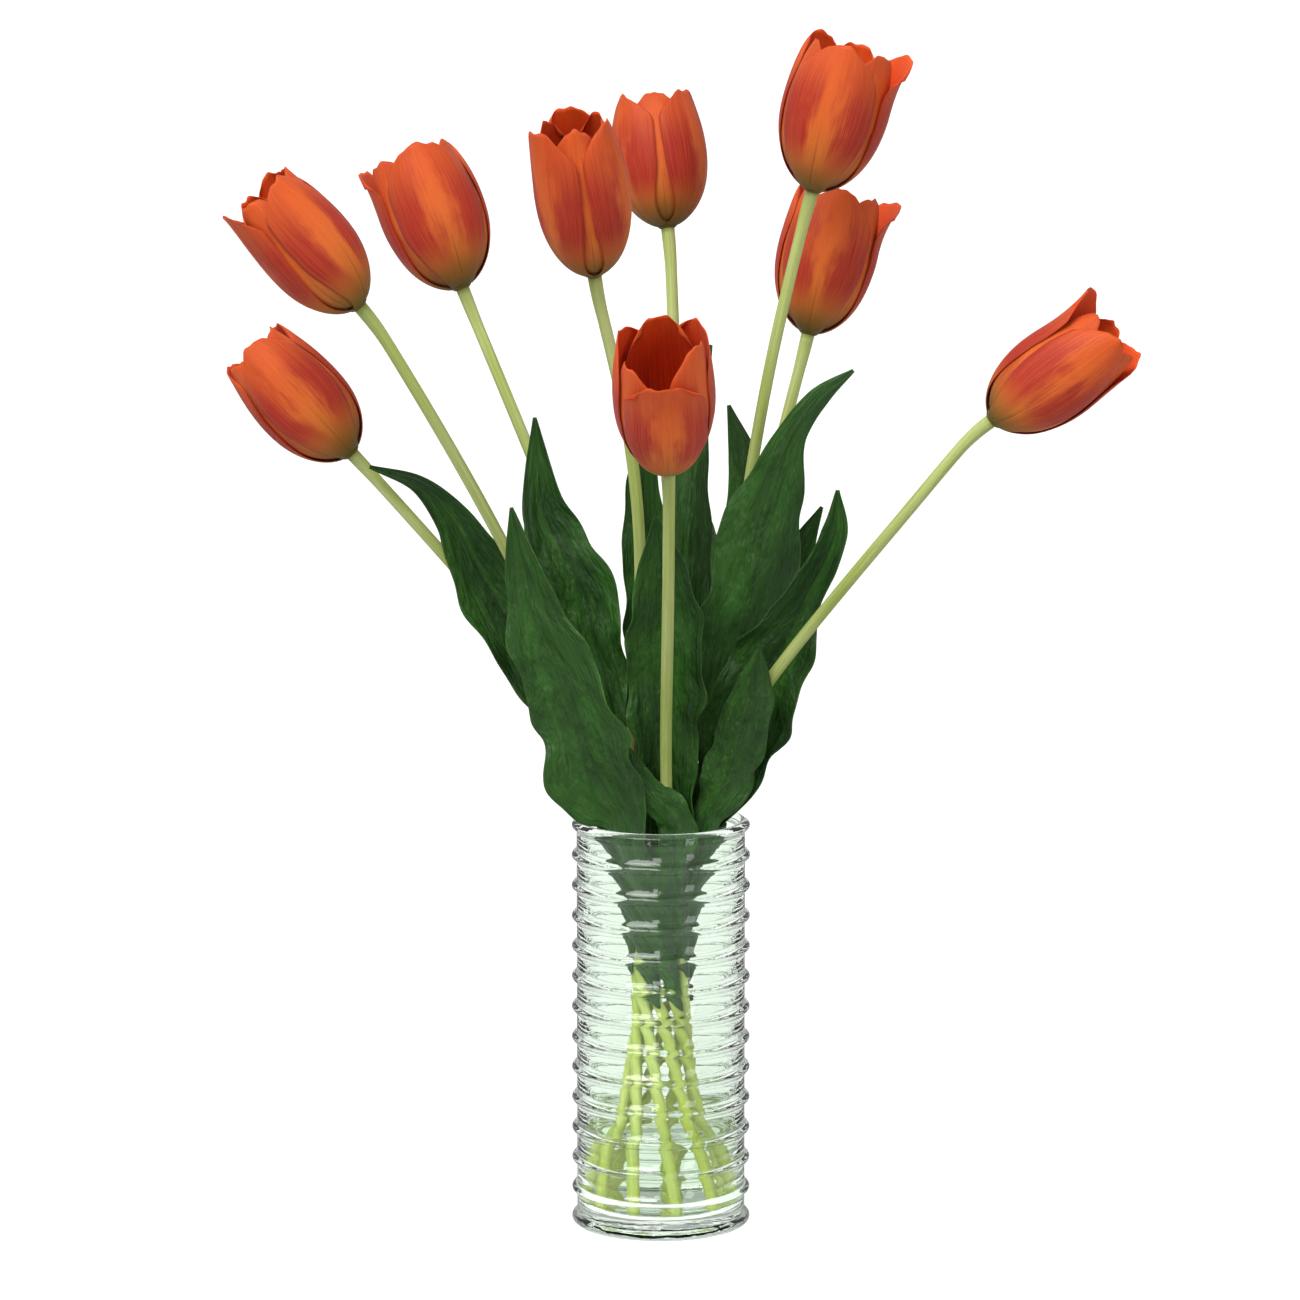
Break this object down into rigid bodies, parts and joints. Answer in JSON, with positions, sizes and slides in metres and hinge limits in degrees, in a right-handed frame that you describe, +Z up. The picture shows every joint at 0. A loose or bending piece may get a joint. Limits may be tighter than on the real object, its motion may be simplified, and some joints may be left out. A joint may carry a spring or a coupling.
{
  "type": "tulips in a vase",
  "caption": "Long-stemmed orange-red tulips with broad waved leaves, fanning out of a clear ribbed glass cylinder vase with water in its foot.",
  "frame": {"origin": "middle of the vase's flat underside, on the surface it stands on", "axes": "+Z up along the vase's axis, -Y towards the viewer of the picture, +X to that viewer's right"},
  "size_m": [0.5013, 0.3136, 0.672],
  "materials": {
    "glass": "polished",
    "water": "polished",
    "stem": "satin",
    "leaf": "satin",
    "petal": "satin",
    "pistil": "matte",
    "stamen": "matte"
  },
  "bodies": {
    "root": {"vase": "glass", "water": "water", "stem_1": "stem", "bloom_1": "petal", "pistil_1": "pistil", "stamens_1": "stamen", "stem_2": "stem", "bloom_2": "petal", "pistil_2": "pistil", "stamens_2": "stamen", "stem_3": "stem", "bloom_3": "petal", "pistil_3": "pistil", "stamens_3": "stamen", "stem_4": "stem", "bloom_4": "petal", "pistil_4": "pistil", "stamens_4": "stamen", "stem_5": "stem", "bloom_5": "petal", "pistil_5": "pistil", "stamens_5": "stamen", "stem_6": "stem", "bloom_6": "petal", "pistil_6": "pistil", "stamens_6": "stamen", "stem_7": "stem", "bloom_7": "petal", "pistil_7": "pistil", "stamens_7": "stamen", "stem_8": "stem", "bloom_8": "petal", "pistil_8": "pistil", "stamens_8": "stamen", "stem_9": "stem", "bloom_9": "petal", "pistil_9": "pistil", "stamens_9": "stamen", "leaf_1": "leaf", "leaf_2": "leaf", "leaf_3": "leaf", "leaf_4": "leaf", "leaf_5": "leaf", "leaf_6": "leaf", "leaf_7": "leaf", "leaf_8": "leaf", "leaf_9": "leaf", "leaf_10": "leaf", "leaf_11": "leaf", "leaf_12": "leaf", "leaf_13": "leaf", "leaf_14": "leaf", "leaf_15": "leaf"}
  },
  "joints": []
}
